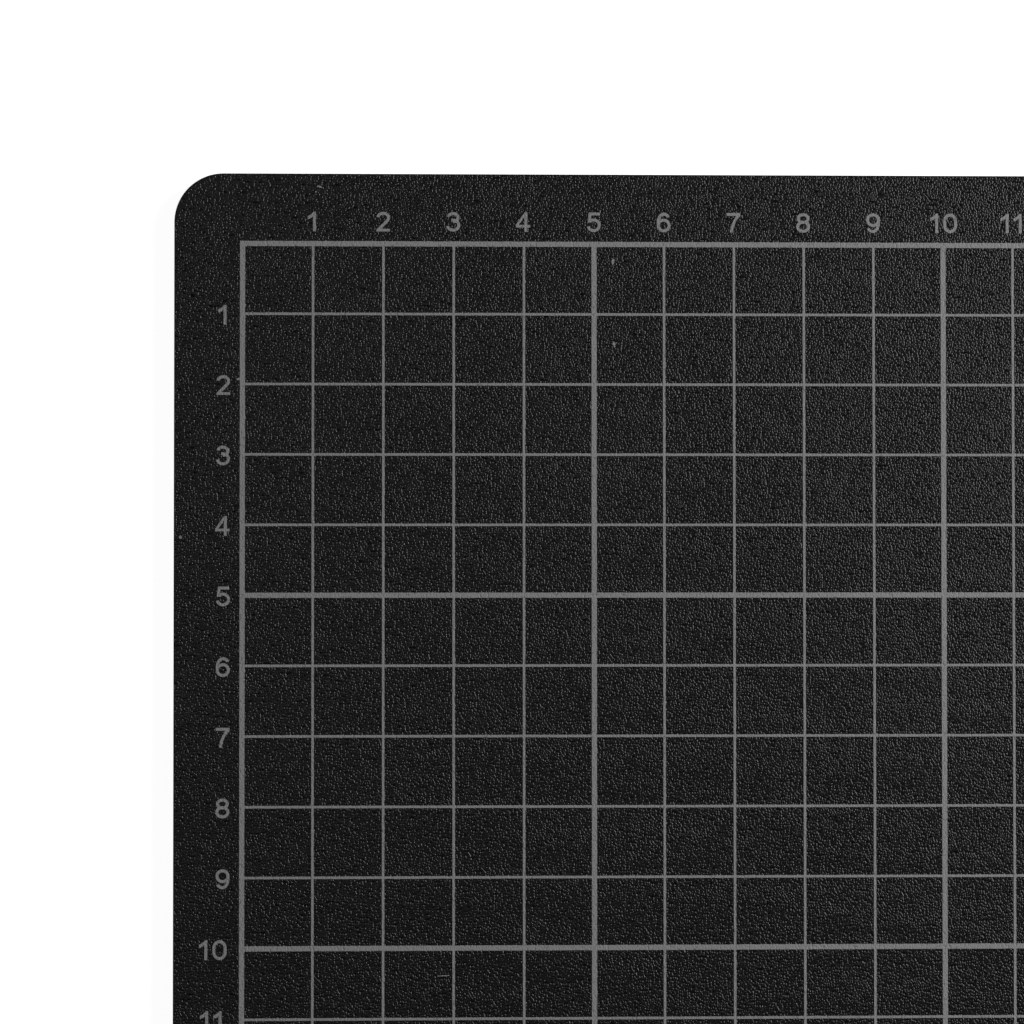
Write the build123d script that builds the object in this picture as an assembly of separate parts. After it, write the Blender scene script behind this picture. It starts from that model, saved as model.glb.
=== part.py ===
from build123d import *
import os
from math import cos, radians, sin

# Self healing cutting mat: five bonded sheets with a centimetre grid printed on the upper one.
# Millimetres. The origin is under the centre of the mat, on the surface it lies on.
# +X runs along the long side, +Y towards the edge with the upper row of numbers, +Z up.

# ---- the mat ----
MAT_LENGTH = 300.0
MAT_WIDTH = 220.0
CORNER_RADIUS = 7.0
EDGE_ROUND = 0.15           # softened die-cut edge of the two outer sheets
LOWER_RIM = 0               # which of a sheet's faces, from the lowest up, has the softened rim
UPPER_RIM = -1

# The sheets from the bottom up, with their thicknesses.
SHEETS = {
    "bottom_healing_sheet": 0.75,
    "lower_inner_sheet": 0.5,
    "rigid_core_sheet": 0.5,
    "upper_inner_sheet": 0.5,
    "top_healing_sheet": 0.75,
}
MAT_THICKNESS = sum(SHEETS.values())

# ---- the printed scale ----
INK_THICKNESS = 0.04
CELL = 10.0                 # one centimetre
BLOCK_CELLS = 5             # a heavy line every five centimetres
COLUMNS = 28
ROWS = 20
HEAVY_LINE = 0.74
FINE_LINE = 0.36
LEFT_MARGIN = 9.7           # mat edge to the centre of the border line
TOP_MARGIN = 10.0

GRID_LEFT = LEFT_MARGIN - MAT_LENGTH / 2
GRID_TOP = MAT_WIDTH / 2 - TOP_MARGIN
GRID_LENGTH = COLUMNS * CELL
GRID_WIDTH = ROWS * CELL

# ---- the numbers ----
DIGIT_HEIGHT = 2.80
DIGIT_ADVANCE = 2.16        # from one digit of a pair to the next
ONES_CLOSER = 0.28          # a 1 after a 1 stands this much closer
STROKE = 0.42               # width of every stroke
TOP_BASELINE = 1.76         # border centre line up to the feet of the top numbers
TOP_SHIFT = -0.04           # the top numbers sit this much to the side of their line
LEFT_GAP = 1.63             # border centre line out to the right side of a single left digit
LEFT_PAIR_GAP = 2.03        # the same for two digits
LEFT_DROP = 0.16            # the left numbers sit this much below their line
WEDGE_REACH = 10.0          # longer than any digit, for cutting an arc out of a ring
WEDGE_STEP = 45.0

MIDDLE = DIGIT_ADVANCE / 2
HALF_STROKE = STROKE / 2
HIGH = DIGIT_HEIGHT - HALF_STROKE    # centre line of the highest stroke
LOW = HALF_STROKE                    # centre line of the lowest stroke


def sheet(bottom, thickness, rounded_rim):
    """One die-cut sheet of the laminate, with the rim of one face softened, or of none."""
    blank = RectangleRounded(MAT_LENGTH, MAT_WIDTH, CORNER_RADIUS)
    solid = extrude(Pos(0, 0, bottom) * blank, amount=thickness)
    if rounded_rim is not None:
        rim = solid.faces().sort_by(Axis.Z)[rounded_rim].edges()
        solid = fillet(rim, EDGE_ROUND)
    return solid


def printed(flat_shape):
    """A flat outline as dried ink on the upper face of the mat."""
    return extrude(Pos(0, 0, MAT_THICKNESS) * flat_shape, amount=INK_THICKNESS)


def grid_rectangle(left, top, right, bottom):
    """A rectangle given in the grid's own distances: across from its left, down from its top."""
    centre_x = GRID_LEFT + (left + right) / 2
    centre_y = GRID_TOP - (top + bottom) / 2
    return Pos(centre_x, centre_y) * Rectangle(right - left, bottom - top)


def upright_line(across, top, bottom, width):
    return grid_rectangle(across - width / 2, top, across + width / 2, bottom)


def level_line(down, left, right, width):
    return grid_rectangle(left, down - width / 2, right, down + width / 2)


# ---- the lines ----

def border_line():
    reach = HEAVY_LINE / 2
    outer = grid_rectangle(-reach, -reach, GRID_LENGTH + reach, GRID_WIDTH + reach)
    inner = grid_rectangle(reach, reach, GRID_LENGTH - reach, GRID_WIDTH - reach)
    return printed(outer - inner)


def five_cm_lines():
    """The heavy lines inside the border, as one connected lattice."""
    reach = HEAVY_LINE / 2
    block = BLOCK_CELLS * CELL
    lines = [
        upright_line(column * block, reach, GRID_WIDTH - reach, HEAVY_LINE)
        for column in range(1, -(-COLUMNS // BLOCK_CELLS))
    ]
    lines += [
        level_line(row * block, reach, GRID_LENGTH - reach, HEAVY_LINE)
        for row in range(1, -(-ROWS // BLOCK_CELLS))
    ]
    return printed(Sketch() + lines)


def fine_block(first_column, last_column, first_row, last_row):
    """The fine lines between four heavy ones, running up to their sides."""
    reach = HEAVY_LINE / 2
    left, right = first_column * CELL + reach, last_column * CELL - reach
    top, bottom = first_row * CELL + reach, last_row * CELL - reach
    lines = [
        upright_line(column * CELL, top, bottom, FINE_LINE)
        for column in range(first_column + 1, last_column)
    ]
    lines += [
        level_line(row * CELL, left, right, FINE_LINE)
        for row in range(first_row + 1, last_row)
    ]
    return printed(Sketch() + lines)


def one_cm_lines():
    blocks = []
    for first_column in range(0, COLUMNS, BLOCK_CELLS):
        last_column = min(first_column + BLOCK_CELLS, COLUMNS)
        for first_row in range(0, ROWS, BLOCK_CELLS):
            last_row = min(first_row + BLOCK_CELLS, ROWS)
            blocks += fine_block(first_column, last_column, first_row, last_row).solids()
    return Compound(children=blocks)


# ---- the digits, each with its foot on Y = 0 and its advance starting at X = 0 ----

def ring(x, y, across, up):
    """A closed oval stroke. across and up are the half axes of its centre line."""
    outer = Ellipse(across + HALF_STROKE, up + HALF_STROKE)
    inner = Ellipse(across - HALF_STROKE, up - HALF_STROKE)
    return Pos(x, y) * (outer - inner)


def arc(x, y, across, up, start, end):
    """The part of a ring between two angles, anticlockwise from +X, in degrees."""
    steps = max(1, round((end - start) / WEDGE_STEP))
    rim = [
        (
            x + WEDGE_REACH * cos(radians(start + (end - start) * step / steps)),
            y + WEDGE_REACH * sin(radians(start + (end - start) * step / steps)),
        )
        for step in range(steps + 1)
    ]
    return ring(x, y, across, up) & outline((x, y), *rim)


def outline(*points):
    """A face through the given corners, anticlockwise or clockwise."""
    return make_face(Polyline(*points, close=True))


def bar(start, end):
    """A straight stroke with square ends."""
    run = Vector(*end) - Vector(*start)
    side = Vector(-run.Y, run.X).normalized() * HALF_STROKE
    corners = [
        Vector(*start) + side,
        Vector(*end) + side,
        Vector(*end) - side,
        Vector(*start) - side,
    ]
    return outline(*[(corner.X, corner.Y) for corner in corners])


def on_baseline(shape):
    """What lies between the foot and the top of the digit."""
    room = Pos(MIDDLE, DIGIT_HEIGHT / 2) * Rectangle(2 * WEDGE_REACH, DIGIT_HEIGHT)
    return shape & room


def zero():
    """Two half rings joined by straight sides."""
    across, curve = 0.79, 0.88
    top, foot = HIGH - curve, LOW + curve
    return (
        arc(MIDDLE, top, across, curve, 0, 180)
        + arc(MIDDLE, foot, across, curve, 180, 360)
        + bar((MIDDLE - across, foot), (MIDDLE - across, top))
        + bar((MIDDLE + across, foot), (MIDDLE + across, top))
    )


def one():
    """A stem, and a flag that sinks to the left from the stem's top."""
    stem_left = 1.10
    stem_right = stem_left + STROKE
    peak = stem_left + 0.10
    tip, tip_low, tip_high = 0.35, 1.70, 2.15
    bend, bend_low, bend_high = 0.82, 1.88, 2.40
    flag_root = 2.14
    return outline(
        (stem_left, 0),
        (stem_right, 0),
        (stem_right, DIGIT_HEIGHT),
        (peak, DIGIT_HEIGHT),
        (bend, bend_high),
        (tip, tip_high),
        (tip, tip_low),
        (bend, bend_low),
        (stem_left, flag_root),
    )


def two():
    """A bowl open to the left, a slope down from its end, and a base."""
    bowl_across, bowl_up = 0.76, 0.63
    bowl_y = HIGH - bowl_up
    bowl_end, bowl_start = -38, 174
    leave_x = MIDDLE + bowl_across * cos(radians(bowl_end))
    leave_y = bowl_y + bowl_up * sin(radians(bowl_end))
    overlap = 0.03
    slope = bar((leave_x + overlap, leave_y + overlap), (0.33, LOW - 0.04))
    left, right, base_high = 0.08, 2.04, 0.38
    base = outline((left, 0), (right, 0), (right, base_high), (2 * left, base_high))
    bowl = arc(MIDDLE, bowl_y, bowl_across, bowl_up, bowl_end, bowl_start)
    return bowl + on_baseline(slope) + base


def three():
    """Two bowls open to the left, joined by a short bar at the waist."""
    upper_across, upper_up = 0.70, 0.58
    lower_across, lower_up = 0.80, 0.71
    upper_start, lower_end = 172, 188
    centre_x = MIDDLE - 0.04
    waist_left, waist = 0.80, LOW + 2 * lower_up
    upper = arc(centre_x, HIGH - upper_up, upper_across, upper_up, -90, upper_start)
    lower = arc(centre_x, LOW + lower_up, lower_across, lower_up, lower_end, 450)
    return upper + lower + bar((waist_left, waist), (centre_x, waist))


def four():
    """A stem, a crossbar and a slope, round a three-sided window."""
    stem_left = 1.19
    stem_right = stem_left + STROKE
    bar_low, bar_high = 0.62, 1.00
    left, right = -0.04, 2.02
    peak = stem_left + 0.04
    window_left, window_high = 0.37, 2.14
    whole = outline(
        (stem_left, 0),
        (stem_right, 0),
        (stem_right, bar_low),
        (right, bar_low),
        (right, bar_high),
        (stem_right, bar_high),
        (stem_right, DIGIT_HEIGHT),
        (peak, DIGIT_HEIGHT),
        (left, bar_high),
        (left, bar_low),
        (stem_left, bar_low),
    )
    window = outline((window_left, bar_high), (stem_left, bar_high), (stem_left, window_high))
    return whole - window


def five():
    """A bar, a stem that leans a little, and a bowl open to the left."""
    bowl_across, bowl_up = 0.80, 0.76
    bowl_end, bowl_start = -168, 142
    top_left, top_right = 0.50, 1.96
    stem_top, stem_foot = (0.38, 0.78), (0.20, 0.62)
    foot_left, foot_right = 1.32, 1.40
    top = bar((top_left, HIGH), (top_right, HIGH))
    stem = outline(
        (stem_top[0], DIGIT_HEIGHT),
        (stem_top[1], DIGIT_HEIGHT),
        (stem_foot[1], foot_right),
        (stem_foot[0], foot_left),
    )
    bowl = arc(MIDDLE, LOW + bowl_up, bowl_across, bowl_up, bowl_end, bowl_start)
    return bowl + top + stem


def six():
    """A closed bowl, with a back that climbs to a short crown."""
    bowl_across, bowl_up = 0.78, 0.76
    crown_across, crown_up = 0.66, 0.58
    back_up = (HIGH - LOW) / 2
    back_shift = 0.02
    back_end, crown_end = 200, 12
    back_x = MIDDLE + back_shift
    bowl = ring(MIDDLE, LOW + bowl_up, bowl_across, bowl_up)
    back = arc(back_x, LOW + back_up, bowl_across + back_shift, back_up, 90, back_end)
    crown = arc(back_x, HIGH - crown_up, crown_across, crown_up, crown_end, 90)
    return bowl + back + crown


def seven():
    """A bar, and a leg that steepens on its way down in three straight stretches."""
    left, right = 0.08, 2.04
    knee_left, knee_right = (1.04, 1.68), (1.44, 1.62)
    shin_left, shin_right = (0.69, 0.88), (1.10, 0.80)
    foot_left = 0.54
    foot_right = foot_left + STROKE
    leg_left = 1.56
    leg = outline(
        (leg_left, HIGH),
        (right, HIGH),
        (right, HIGH - HALF_STROKE),
        knee_right,
        shin_right,
        (foot_right, 0),
        (foot_left, 0),
        shin_left,
        knee_left,
    )
    return bar((left, HIGH), (right, HIGH)) + leg


def eight():
    """Two rings, one on the other, that share a stroke at the waist."""
    upper_across, upper_up = 0.69, 0.56
    lower_across = 0.79
    overlap = 0.02
    lower_up = (HIGH - LOW) / 2 - upper_up + overlap
    centre_x = MIDDLE - 0.03
    upper = ring(centre_x, HIGH - upper_up, upper_across, upper_up)
    lower = ring(centre_x, LOW + lower_up, lower_across, lower_up)
    return upper + lower


def nine():
    """A six turned upside down."""
    return Pos(DIGIT_ADVANCE, DIGIT_HEIGHT) * Rot(0, 0, 180) * six()


DIGITS = [make() for make in (zero, one, two, three, four, five, six, seven, eight, nine)]


def digit_starts(digits):
    """Where each digit's advance starts, and where the last one ends."""
    starts = [0.0]
    for digit, after in zip(digits, digits[1:] + [None]):
        closer = ONES_CLOSER if digit == after == 1 else 0.0
        starts.append(starts[-1] + DIGIT_ADVANCE - closer)
    return starts[:-1], starts[-1]


def number(value, centre_x, baseline_y):
    """A number of one or two digits, centred over a place."""
    digits = [int(mark) for mark in str(value)]
    starts, length = digit_starts(digits)
    solids = []
    for digit, start in zip(digits, starts):
        placed = Pos(centre_x - length / 2 + start, baseline_y) * DIGITS[digit]
        solids += printed(placed).solids()
    return solids[0] if len(solids) == 1 else Compound(children=solids)


def top_number(column):
    return number(column, GRID_LEFT + column * CELL + TOP_SHIFT, GRID_TOP + TOP_BASELINE)


def left_number(row):
    count = len(str(row))
    gap = LEFT_GAP if count == 1 else LEFT_PAIR_GAP
    centre_x = GRID_LEFT - gap - DIGIT_ADVANCE * count / 2
    baseline = GRID_TOP - row * CELL - LEFT_DROP - DIGIT_HEIGHT / 2
    return number(row, centre_x, baseline)


def laminate():
    """The five sheets, each lying on the one before it."""
    rounded_edges = {"bottom_healing_sheet": LOWER_RIM, "top_healing_sheet": UPPER_RIM}
    pieces = {}
    bottom = 0.0
    for name, thickness in SHEETS.items():
        pieces[name] = sheet(bottom, thickness, rounded_edges.get(name))
        bottom += thickness
    return pieces


def scale():
    """All the ink on the mat."""
    pieces = {
        "border_line": border_line(),
        "five_cm_lines": five_cm_lines(),
        "one_cm_lines": one_cm_lines(),
    }
    for column in range(1, COLUMNS + 1):
        pieces[f"top_number_{column}"] = top_number(column)
    for row in range(1, ROWS + 1):
        pieces[f"left_number_{row}"] = left_number(row)
    return pieces


os.makedirs("parts", exist_ok=True)
for node, shape in {**laminate(), **scale()}.items():
    export_step(shape, f"parts/{node}.step")
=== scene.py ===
import math

import bmesh
import bpy
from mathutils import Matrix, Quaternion, Vector, noise


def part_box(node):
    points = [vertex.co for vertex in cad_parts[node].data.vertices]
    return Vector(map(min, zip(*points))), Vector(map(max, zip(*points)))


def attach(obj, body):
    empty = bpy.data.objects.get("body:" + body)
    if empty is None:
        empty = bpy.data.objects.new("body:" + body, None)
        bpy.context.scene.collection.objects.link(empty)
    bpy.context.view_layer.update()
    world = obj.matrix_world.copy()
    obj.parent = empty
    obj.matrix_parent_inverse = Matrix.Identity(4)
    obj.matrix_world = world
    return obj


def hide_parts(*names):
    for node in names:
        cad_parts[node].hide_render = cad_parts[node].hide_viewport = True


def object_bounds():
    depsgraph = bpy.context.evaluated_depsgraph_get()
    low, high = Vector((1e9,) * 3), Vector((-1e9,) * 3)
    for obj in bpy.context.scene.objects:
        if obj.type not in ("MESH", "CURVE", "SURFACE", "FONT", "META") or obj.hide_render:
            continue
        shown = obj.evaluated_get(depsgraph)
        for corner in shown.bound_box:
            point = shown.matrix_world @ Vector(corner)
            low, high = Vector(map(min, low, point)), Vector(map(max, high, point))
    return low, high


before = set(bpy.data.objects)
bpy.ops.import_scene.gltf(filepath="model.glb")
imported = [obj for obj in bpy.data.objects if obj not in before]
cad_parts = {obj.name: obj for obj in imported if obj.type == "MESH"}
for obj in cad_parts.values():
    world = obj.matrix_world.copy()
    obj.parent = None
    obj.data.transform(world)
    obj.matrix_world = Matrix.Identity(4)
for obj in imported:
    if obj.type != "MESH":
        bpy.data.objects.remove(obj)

CAD_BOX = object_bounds()
MM = 0.001
SHARP_ABOVE = 35             # degrees between two faces

# ---- sizes read from the frame ----
MAT_LOW, MAT_HIGH = (Vector(corner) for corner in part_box("top_healing_sheet"))
BORDER_LOW, BORDER_HIGH = (Vector(corner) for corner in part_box("border_line"))
MAT_LENGTH = MAT_HIGH.x - MAT_LOW.x
MAT_WIDTH = MAT_HIGH.y - MAT_LOW.y
MAT_CENTRE = ((MAT_LOW + MAT_HIGH) / 2).xy
SHEET_TOP = MAT_HIGH.z
INK_TOP = BORDER_HIGH.z

# ---- the printed scale, as on the CAD model ----
CELL = 10 * MM
BLOCK_CELLS = 5
HEAVY_LINE = 0.74 * MM
FINE_LINE = 0.36 * MM
GRID_LEFT = BORDER_LOW.x + HEAVY_LINE / 2
GRID_TOP = BORDER_HIGH.y - HEAVY_LINE / 2
COLUMNS = round((BORDER_HIGH.x - BORDER_LOW.x - HEAVY_LINE) / CELL)
ROWS = round((BORDER_HIGH.y - BORDER_LOW.y - HEAVY_LINE) / CELL)

# ---- the sheets ----
CORNER_RADIUS = 7 * MM
CORNER_STEPS = 24
EDGE_STEP = 4 * MM           # length of the pieces that a straight edge is divided into
EDGE_ROUND = 0.15 * MM       # the softened rim of the two outer faces
EDGE_ROUND_STEPS = 5
FACE_BAND = 0.3 * MM         # flat band inside the rim, so that the rim's smooth shading ends there
SEAM_ROUND = 0.06 * MM       # half of the small groove where two sheets meet
INNER_SET_IN = 0.08 * MM     # how far the inner sheets' cut edges lie behind the outer ones
CORE_SET_IN = 0.02 * MM
WAVER_LENGTH = 9 * MM        # over what length a cut edge wavers
WAVER_MEAN = 0.6             # its mean, and its swing either way, as shares of the set-in
WAVER_SWING = 0.4

# ---- the ink ----
INK_STEP = 0.4 * MM          # length of the pieces that a printed line is divided into
INK_ROUGH = 0.035 * MM       # how far its edge strays
INK_GRAIN = 0.25 * MM        # over what length it strays
OTHER_NOISE = Vector((0, 0, 40))     # far enough away for the second direction's noise to be its own


# ================ helpers ================

def new_object(name, mesh):
    made = bpy.data.objects.new(name, mesh)
    bpy.context.collection.objects.link(made)
    return made


def finished_mesh(name, bm):
    """The mesh of a bmesh, smooth shaded except at its sharp edges."""
    bmesh.ops.recalc_face_normals(bm, faces=bm.faces)
    mesh = bpy.data.meshes.new(name)
    bm.to_mesh(mesh)
    bm.free()
    mesh.shade_smooth()
    mesh.set_sharp_from_angle(angle=math.radians(SHARP_ABOVE))
    return mesh


def add_node(tree, kind, settings=None, inputs=None):
    """A shader node with its settings, and its inputs as numbers or as other nodes' outputs."""
    node = tree.nodes.new(kind)
    for key, value in (settings or {}).items():
        setattr(node, key, value)
    for key, value in (inputs or {}).items():
        if isinstance(value, bpy.types.NodeSocket):
            tree.links.new(value, node.inputs[key])
        else:
            node.inputs[key].default_value = value
    return node


def math_node(tree, operation, first, second):
    """One step of arithmetic on two values."""
    return add_node(tree, "ShaderNodeMath", {"operation": operation}, {0: first, 1: second}).outputs[0]


def mix_colours(tree, share, low, high):
    """A colour between two, by a share from 0 to 1."""
    settings = {"data_type": "RGBA"}
    node = add_node(tree, "ShaderNodeMix", settings, {"Factor": share, 6: low, 7: high})
    return node.outputs[2]


def ramp(tree, value, from_low, from_high, to_low=0.0, to_high=1.0):
    """A value's range brought to another range, clamped."""
    inputs = {
        "Value": value,
        "From Min": from_low,
        "From Max": from_high,
        "To Min": to_low,
        "To Max": to_high,
    }
    return add_node(tree, "ShaderNodeMapRange", {"clamp": True}, inputs).outputs[0]


def grey(level):
    return (level, level, level, 1.0)


def new_material(name):
    """A material with a Principled shader. Gives the material, its tree and the shader."""
    material = bpy.data.materials.new(name)
    material.use_nodes = True
    tree = material.node_tree
    tree.nodes.clear()
    shader = add_node(tree, "ShaderNodeBsdfPrincipled")
    output = add_node(tree, "ShaderNodeOutputMaterial")
    tree.links.new(shader.outputs[0], output.inputs["Surface"])
    return material, tree, shader


# ================ materials ================

GRAIN_ACROSS = 0.27          # mm, from one pebble of the embossed grain to the next
GRAIN_ALONG = 0.36
GRAIN_HEIGHT = 0.155 * MM
GRAIN_STEEP = 2.6            # the higher, the flatter the pebbles and the steeper their sides
GRAIN_DRIFT = 1.4            # mm, how far the rows of pebbles wander along X
DRIFT_LENGTH = 5.7           # mm, over what length along Y
DRIFT_STRETCH = 4.0          # how many times longer that is along X
CLUMP_SCALE = 0.73           # per mm, of the patches where the grain is shallower
CLUMP_DEPTH = 0.73           # the grain's height there
CLUMP_EDGES = (0.35, 0.65)   # the noise levels between which a patch fades out

# ---- colours, as greys, and gloss ----
PVC_GREYS_WITH_VALLEY_SHADE = (0.0045, 0.0097)     # between the pebbles, darker there as painted shade, and on their tops
PEBBLE_TOPS = (0.6, 1.0)         # the heights between which the one fades into the other
PVC_ROUGH = (0.271, 0.311)       # in large patches, where the mat has been wiped or handled
PATCH_SCALE = 0.05               # per mm
PATCH_EDGES = (0.3, 0.7)
PVC_SPECULAR = 0.44
CUT_ROUGH = 0.6
CUT_SPECULAR = 0.15
DIE_MARKS = (1.6, 1.6, 0.2)      # per mm, round the mat and up the cut edge
DIE_MARK_EDGES = (0.35, 0.65)
DIE_MARK_DEPTH = 0.15 * MM
INK_GREYS = (0.272, 0.368)       # thin and full cover
INK_COVER_EDGES = (0.6, 1.0)
INK_WEAR_SCALE = 1.6             # per mm
INK_PEBBLE_SHARE = 0.6           # how much the pebbles' height adds to the cover
INK_ROUGHNESS = 0.6
INK_BUMP = 0.5                   # the share of the grain that shows through the ink


def millimetres(tree):
    """The object's own coordinates in millimetres."""
    place = add_node(tree, "ShaderNodeTexCoord").outputs["Object"]
    settings = {"operation": "SCALE"}
    return add_node(tree, "ShaderNodeVectorMath", settings, {0: place, "Scale": 1 / MM}).outputs[0]


def noise_value(tree, place, scale, detail=2.0, rough=0.5):
    """Noise around 0.5, with the given number of patches per unit of length."""
    inputs = {"Vector": place, "Scale": scale, "Detail": detail, "Roughness": rough}
    return add_node(tree, "ShaderNodeTexNoise", {}, inputs).outputs["Fac"]


def embossed_grain(tree):
    """The leather-like grain of close pebbles whose rows wander.

    Gives its height with the patches, 0 to 1, the pebbles' own height, and the place."""
    place = millimetres(tree)
    bends = add_node(
        tree,
        "ShaderNodeMapping",
        {},
        {"Vector": place, "Scale": (1 / DRIFT_LENGTH / DRIFT_STRETCH, 1 / DRIFT_LENGTH, 1.0)},
    ).outputs[0]
    wander = math_node(tree, "SUBTRACT", noise_value(tree, bends, 1.0, detail=1.0), 0.5)
    aside = add_node(
        tree, "ShaderNodeCombineXYZ", {}, {"X": math_node(tree, "MULTIPLY", wander, GRAIN_DRIFT)}
    ).outputs[0]
    bent = add_node(
        tree, "ShaderNodeVectorMath", {"operation": "ADD"}, {0: place, 1: aside}
    ).outputs[0]
    scaled = add_node(
        tree,
        "ShaderNodeMapping",
        {},
        {"Vector": bent, "Scale": (1 / GRAIN_ACROSS, 1 / GRAIN_ALONG, 1.0)},
    ).outputs[0]
    from_centre = add_node(
        tree,
        "ShaderNodeTexVoronoi",
        {"voronoi_dimensions": "2D", "feature": "F1"},
        {"Vector": scaled, "Scale": 1.0, "Randomness": 1.0},
    ).outputs["Distance"]
    fall = math_node(tree, "POWER", from_centre, GRAIN_STEEP)
    pebbles = math_node(tree, "SUBTRACT", 1.0, fall)
    clumps = noise_value(tree, place, CLUMP_SCALE)
    strength = ramp(tree, clumps, *CLUMP_EDGES, CLUMP_DEPTH, 1.0)
    return math_node(tree, "MULTIPLY", pebbles, strength), pebbles, place


def healing_pvc():
    """The soft, nearly black outer sheets: embossed grain with a satin sheen, and painted shade between
    the pebbles.
    """
    material, tree, shader = new_material("healing_pvc")
    height, pebbles, place = embossed_grain(tree)
    # The darker grey between the pebbles is painted shade in the grain's valleys.
    colour = mix_colours(tree, ramp(tree, pebbles, *PEBBLE_TOPS), *map(grey, PVC_GREYS_WITH_VALLEY_SHADE))
    tree.links.new(colour, shader.inputs["Base Color"])
    patches = noise_value(tree, place, PATCH_SCALE, detail=3.0)
    rough = ramp(tree, patches, *PATCH_EDGES, *PVC_ROUGH)
    tree.links.new(rough, shader.inputs["Roughness"])
    shader.inputs["Specular IOR Level"].default_value = PVC_SPECULAR
    bump = add_node(
        tree, "ShaderNodeBump", {}, {"Height": height, "Distance": GRAIN_HEIGHT, "Strength": 1.0}
    )
    tree.links.new(bump.outputs[0], shader.inputs["Normal"])
    return material


def cut_pvc(name, low, high):
    """The cut edge of a sheet: dull, with fine marks of the cutting die up and down it.

    The low and high greys are those in and between the marks; the darker grey in the marks' grooves is
    painted shade."""
    material, tree, shader = new_material(name)
    place = millimetres(tree)
    streaks = add_node(
        tree, "ShaderNodeMapping", {}, {"Vector": place, "Scale": DIE_MARKS}
    ).outputs[0]
    marks = noise_value(tree, streaks, 1.0, detail=3.0, rough=0.6)
    # Darker in the grooves of the die marks: painted shade.
    colour = mix_colours(tree, ramp(tree, marks, *DIE_MARK_EDGES), grey(low), grey(high))
    tree.links.new(colour, shader.inputs["Base Color"])
    shader.inputs["Roughness"].default_value = CUT_ROUGH
    shader.inputs["Specular IOR Level"].default_value = CUT_SPECULAR
    bump = add_node(
        tree, "ShaderNodeBump", {}, {"Height": marks, "Distance": DIE_MARK_DEPTH, "Strength": 1.0}
    )
    tree.links.new(bump.outputs[0], shader.inputs["Normal"])
    return material


def print_ink():
    """Matt grey screen print, thin enough for the grain to show through."""
    material, tree, shader = new_material("print_ink")
    height, pebbles, place = embossed_grain(tree)
    worn = noise_value(tree, place, INK_WEAR_SCALE, detail=3.0, rough=0.6)
    cover = math_node(tree, "ADD", math_node(tree, "MULTIPLY", pebbles, INK_PEBBLE_SHARE), worn)
    colour = mix_colours(tree, ramp(tree, cover, *INK_COVER_EDGES), *map(grey, INK_GREYS))
    tree.links.new(colour, shader.inputs["Base Color"])
    shader.inputs["Roughness"].default_value = INK_ROUGHNESS
    bump = add_node(
        tree, "ShaderNodeBump", {}, {"Height": height, "Distance": GRAIN_HEIGHT, "Strength": INK_BUMP}
    )
    tree.links.new(bump.outputs[0], shader.inputs["Normal"])
    return material


HEALING_PVC = healing_pvc()
CUT_OUTER = cut_pvc("healing_pvc_cut", 0.003, 0.012)
CUT_INNER = cut_pvc("inner_pvc_cut", 0.006, 0.020)
CUT_CORE = cut_pvc("core_pvc_cut", 0.035, 0.080)
PRINT_INK = print_ink()


# ================ the sheets ================

def outline(inset):
    """Points round the mat, set in from its edge, anticlockwise."""
    radius = CORNER_RADIUS - inset
    half_length = MAT_LENGTH / 2 - CORNER_RADIUS
    half_width = MAT_WIDTH / 2 - CORNER_RADIUS
    centres = [
        (half_length, half_width),
        (-half_length, half_width),
        (-half_length, -half_width),
        (half_length, -half_width),
    ]
    points = []
    for quarter, (x, y) in enumerate(centres):
        start = quarter * math.pi / 2
        for step in range(CORNER_STEPS + 1):
            angle = start + math.pi / 2 * step / CORNER_STEPS
            across = MAT_CENTRE.x + x + radius * math.cos(angle)
            along = MAT_CENTRE.y + y + radius * math.sin(angle)
            points.append(Vector((across, along)))
        following = centres[(quarter + 1) % 4]
        gap = Vector(following) - Vector((x, y))
        count = round(gap.length / EDGE_STEP)
        last = points[-1].copy()
        points += [last + gap * step / count for step in range(1, count)]
    return points


def sheet_profile(bottom, top, low_round, high_round):
    """Insets and heights up the cut edge, from the lower face to the upper one."""
    profile = [(low_round + FACE_BAND, bottom)]
    for step in range(EDGE_ROUND_STEPS + 1):
        angle = math.pi / 2 * step / EDGE_ROUND_STEPS
        profile.append((low_round * (1 - math.sin(angle)), bottom + low_round * (1 - math.cos(angle))))
    for step in range(EDGE_ROUND_STEPS + 1):
        angle = math.pi / 2 * step / EDGE_ROUND_STEPS
        profile.append((high_round * (1 - math.cos(angle)), top - high_round * (1 - math.sin(angle))))
    profile.append((high_round + FACE_BAND, top))
    return profile


def make_sheet(node, face_material, edge_material, low_round, high_round, set_in):
    """One sheet of the laminate, closed, with a softened edge that wavers a little."""
    low, high = (Vector(corner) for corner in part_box(node))
    bm = bmesh.new()
    rings = []
    for inset, height in sheet_profile(low.z, high.z, low_round, high_round):
        ring = []
        for point in outline(inset):
            waver = noise.noise(Vector((point.x, point.y, low.z)) / WAVER_LENGTH)
            inward = (MAT_CENTRE - point).normalized()
            moved = point + inward * (set_in * (WAVER_MEAN + WAVER_SWING * waver))
            ring.append(bm.verts.new((moved.x, moved.y, height)))
        rings.append(ring)
    for level, (below, above) in enumerate(zip(rings, rings[1:])):
        on_face = level in (0, len(rings) - 2)
        for here in range(len(below)):
            after = (here + 1) % len(below)
            face = bm.faces.new((below[here], below[after], above[after], above[here]))
            face.material_index = 0 if on_face else 1
    for ring in (rings[0], rings[-1]):
        bm.faces.new(ring)
    made = new_object(node + "_look", finished_mesh(node + "_look", bm))
    made.data.materials.append(face_material)
    made.data.materials.append(edge_material)
    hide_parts(node)
    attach(made, "root")
    return made


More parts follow.
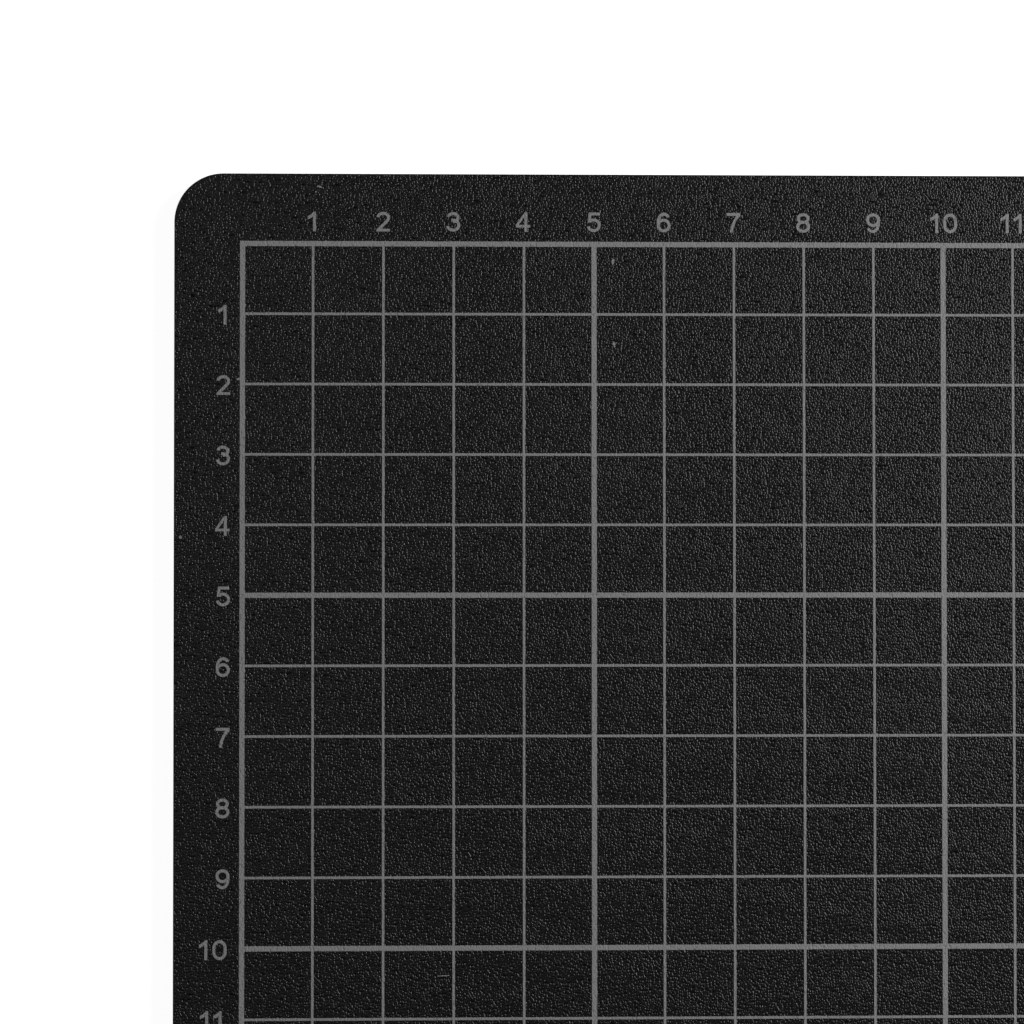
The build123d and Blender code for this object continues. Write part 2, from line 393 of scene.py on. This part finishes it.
def make_laminate():
    """The five sheets, from the lowest to the top one."""
    plan = [
        ("bottom_healing_sheet", HEALING_PVC, CUT_OUTER, EDGE_ROUND, SEAM_ROUND, 0.0),
        ("lower_inner_sheet", CUT_INNER, CUT_INNER, SEAM_ROUND, SEAM_ROUND, INNER_SET_IN),
        ("rigid_core_sheet", CUT_CORE, CUT_CORE, SEAM_ROUND, SEAM_ROUND, CORE_SET_IN),
        ("upper_inner_sheet", CUT_INNER, CUT_INNER, SEAM_ROUND, SEAM_ROUND, INNER_SET_IN),
        ("top_healing_sheet", HEALING_PVC, CUT_OUTER, SEAM_ROUND, EDGE_ROUND, 0.0),
    ]
    for node, face_material, edge_material, low_round, high_round, set_in in plan:
        made = make_sheet(node, face_material, edge_material, low_round, high_round, set_in)


# ================ the print ================

def strayed(x, y):
    """Where a point of an ink edge really lies, because the ink runs into the grain."""
    place = Vector((x, y, 0)) / INK_GRAIN
    return Vector((
        x + INK_ROUGH * noise.noise(place),
        y + INK_ROUGH * noise.noise(place + OTHER_NOISE),
    ))


def breaks(first, count, direction):
    """The grid's cuts along one axis: both sides of each line, and steps between them.

    Gives the cuts, and for each gap between two cuts the number of the line it lies in, or None."""
    cuts, owners = [], []
    for line in range(count + 1):
        heavy = line % BLOCK_CELLS == 0 or line == count
        half = (HEAVY_LINE if heavy else FINE_LINE) / 2
        centre = first + direction * line * CELL
        if cuts:
            start, end = cuts[-1], centre - direction * half
            steps = round(abs(end - start) / INK_STEP)
            cuts += [start + (end - start) * step / steps for step in range(1, steps)]
            owners += [None] * steps
        cuts += [centre - direction * half, centre + direction * half]
        owners.append(line)
    return cuts, owners


def line_kind(line, count):
    """The node that a line of the grid belongs to."""
    if line is None:
        return None
    if line in (0, count):
        return "border_line"
    return "five_cm_lines" if line % BLOCK_CELLS == 0 else "one_cm_lines"


# Where two lines cross, the cell belongs to the later of their kinds.
ORDER = [None, "one_cm_lines", "five_cm_lines", "border_line"]


def make_lines():
    """All printed lines as one lattice of small cells, divided into the three nodes."""
    x_cuts, x_owners = breaks(GRID_LEFT, COLUMNS, 1)
    y_cuts, y_owners = breaks(GRID_TOP, ROWS, -1)
    x_kinds = [line_kind(line, COLUMNS) for line in x_owners]
    y_kinds = [line_kind(line, ROWS) for line in y_owners]
    cells = {}
    for column, x_kind in enumerate(x_kinds):
        for row, y_kind in enumerate(y_kinds):
            kind = max(x_kind, y_kind, key=ORDER.index)
            if kind:
                cells[column, row] = kind
    for kind in ORDER[1:]:
        make_lattice(kind, cells, x_cuts, y_cuts)


def make_lattice(kind, cells, x_cuts, y_cuts):
    """The closed ink solid of one kind of line."""
    bm = bmesh.new()
    corners = {}

    def corner(column, row, height):
        key = column, row, height
        if key not in corners:
            place = strayed(x_cuts[column], y_cuts[row])
            corners[key] = bm.verts.new((place.x, place.y, height))
        return corners[key]

    for (column, row), owner in cells.items():
        if owner != kind:
            continue
        square = [(column, row), (column + 1, row), (column + 1, row + 1), (column, row + 1)]
        for height in (INK_TOP, SHEET_TOP):
            bm.faces.new([corner(*place, height) for place in square])
        beside = [(column, row - 1), (column + 1, row), (column, row + 1), (column - 1, row)]
        for here, neighbour in enumerate(beside):
            if cells.get(neighbour) != kind:
                start, end = square[here], square[(here + 1) % 4]
                bm.faces.new([
                    corner(*start, INK_TOP),
                    corner(*end, INK_TOP),
                    corner(*end, SHEET_TOP),
                    corner(*start, SHEET_TOP),
                ])
    made = new_object(kind + "_look", finished_mesh(kind + "_look", bm))
    made.data.materials.append(PRINT_INK)
    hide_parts(kind)
    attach(made, "root")


# Flecks of ink where the screen spattered: right of the grid's corner and below it, length and
# width, all in millimetres, and the angle that the length makes with +X.
SPATTER = [
    (52.85, 14.20, 0.50, 0.42, 60),
    (52.92, 14.55, 0.28, 0.22, 0),
    (52.70, 2.45, 0.90, 0.36, 85),
    (-8.73, 41.76, 0.44, 0.42, 0),
    (10.92, -8.14, 0.80, 0.24, -18),
    (10.42, -7.40, 0.24, 0.20, 0),
    (-0.55, 19.30, 0.56, 0.38, 0),
    (28.55, 103.90, 1.90, 0.12, 4),
]
FLECK_POINTS = 14
FLECK_SHARE = 0.5            # the flecks' thickness as a share of the ink's
FLECK_UNEVEN = 0.25          # how much their rims bulge and dent, as a share of their size


def make_spatter():
    """The flecks as low closed islands of ink with uneven rims."""
    bm = bmesh.new()
    top = SHEET_TOP + (INK_TOP - SHEET_TOP) * FLECK_SHARE
    for across, down, length, width, turn in SPATTER:
        centre = Vector((GRID_LEFT + across * MM, GRID_TOP - down * MM, 0))
        facing = Quaternion((0, 0, 1), math.radians(turn))
        rims = ([], [])
        for step in range(FLECK_POINTS):
            angle = 2 * math.pi * step / FLECK_POINTS
            spoke = Vector((math.cos(angle) * length / 2, math.sin(angle) * width / 2, 0)) * MM
            seed = Vector((across + math.cos(angle), down + math.sin(angle), 0))
            uneven = 1 + FLECK_UNEVEN * noise.noise(seed)
            place = centre + facing @ spoke * uneven
            for rim, height in zip(rims, (SHEET_TOP, top)):
                rim.append(bm.verts.new((place.x, place.y, height)))
        for rim in rims:
            bm.faces.new(rim)
        low_rim, high_rim = rims
        for here in range(FLECK_POINTS):
            after = (here + 1) % FLECK_POINTS
            bm.faces.new((low_rim[here], low_rim[after], high_rim[after], high_rim[here]))
    made = new_object("ink_spatter", finished_mesh("ink_spatter", bm))
    made.data.materials.append(PRINT_INK)
    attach(made, "root")


def dress_numbers():
    """The numbers keep their CAD shapes and get the ink's material."""
    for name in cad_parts:
        if "_number_" in name:
            node = bpy.data.objects[name]
            node.data.materials.clear()
            node.data.materials.append(PRINT_INK)


# ================ the setting ================

FLOOR_SIZE = 12.0
FLOOR_GAP = 0.01 * MM        # below the mat, so that the two faces don't coincide
FLOOR_GREY = 0.8
FLOOR_GLOW = 0.9             # keeps the floor white right up to the mat
AIR_LIGHT = 0.030
BACKDROP_LIGHT = 1.1

# Soft boxes: azimuth from +X towards +Y and elevation in degrees, distance and side in metres, watts.
LIGHTS = {
    "key": (22.0, 33.0, 0.58, 0.37, 3.15),
    "fill": (165.0, 55.0, 0.60, 0.35, 0.13),
    "rim": (155.0, 24.0, 1.05, 0.59, 0.50),
}

# The camera's place from the grid's corner, and its turn away from looking straight down.
CAMERA_PLACE = Vector((25.75, -47.07, 426.6)) * MM
CAMERA_AXIS = Vector((1.194, -1.683, 0.0))
CAMERA_TURN = 2.064          # degrees
CAMERA_LENS = 105.5          # mm, on a sensor 36 mm wide
SENSOR_WIDTH = 36


def make_floor():
    """A plain white floor under the mat."""
    bm = bmesh.new()
    bmesh.ops.create_grid(bm, x_segments=1, y_segments=1, size=FLOOR_SIZE / 2)
    floor = new_object("floor", finished_mesh("floor", bm))
    floor.location.z = CAD_BOX[0].z - FLOOR_GAP
    material, _, shader = new_material("floor")
    shader.inputs["Base Color"].default_value = grey(FLOOR_GREY)
    shader.inputs["Roughness"].default_value = 0.9
    shader.inputs["Specular IOR Level"].default_value = 0.0
    shader.inputs["Emission Color"].default_value = grey(1.0)
    shader.inputs["Emission Strength"].default_value = FLOOR_GLOW
    floor.data.materials.append(material)


def soft_light(name, azimuth, elevation, distance, size, power):
    """A square soft box aimed at the middle of the mat."""
    lamp = bpy.data.lights.new(name, "AREA")
    lamp.size = size
    lamp.energy = power
    light = bpy.data.objects.new(name, lamp)
    bpy.context.collection.objects.link(light)
    turn, rise = math.radians(azimuth), math.radians(elevation)
    towards = Vector((math.cos(turn) * math.cos(rise), math.sin(turn) * math.cos(rise), math.sin(rise)))
    light.location = towards * distance
    light.rotation_mode = "QUATERNION"
    light.rotation_quaternion = towards.to_track_quat("Z", "Y")


def make_world():
    """Dim studio air, seen as a pale backdrop."""
    world = bpy.data.worlds.new("studio")
    bpy.context.scene.world = world
    world.use_nodes = True
    tree = world.node_tree
    tree.nodes.clear()
    dim = add_node(tree, "ShaderNodeBackground", {}, {"Color": grey(1.0), "Strength": AIR_LIGHT})
    pale = add_node(tree, "ShaderNodeBackground", {}, {"Color": grey(1.0), "Strength": BACKDROP_LIGHT})
    seen = add_node(tree, "ShaderNodeLightPath").outputs["Is Camera Ray"]
    mixed = add_node(
        tree, "ShaderNodeMixShader", {}, {0: seen, 1: dim.outputs[0], 2: pale.outputs[0]}
    )
    output = add_node(tree, "ShaderNodeOutputWorld")
    tree.links.new(mixed.outputs[0], output.inputs["Surface"])


def make_camera():
    """Over the corner where the numbers start, nearly straight down."""
    camera = bpy.data.objects.new("camera", bpy.data.cameras.new("camera"))
    bpy.context.collection.objects.link(camera)
    camera.data.sensor_width = SENSOR_WIDTH
    camera.data.lens = CAMERA_LENS
    camera.data.clip_start = 0.01
    camera.location = Vector((GRID_LEFT, GRID_TOP, SHEET_TOP)) + CAMERA_PLACE
    camera.rotation_mode = "QUATERNION"
    camera.rotation_quaternion = Quaternion(CAMERA_AXIS, math.radians(CAMERA_TURN))
    bpy.context.scene.camera = camera


make_camera()
make_laminate()
make_lines()
make_spatter()
dress_numbers()
make_floor()
make_world()
for light_name, settings in LIGHTS.items():
    soft_light(light_name, *settings)
bpy.context.scene.view_settings.view_transform = "Standard"
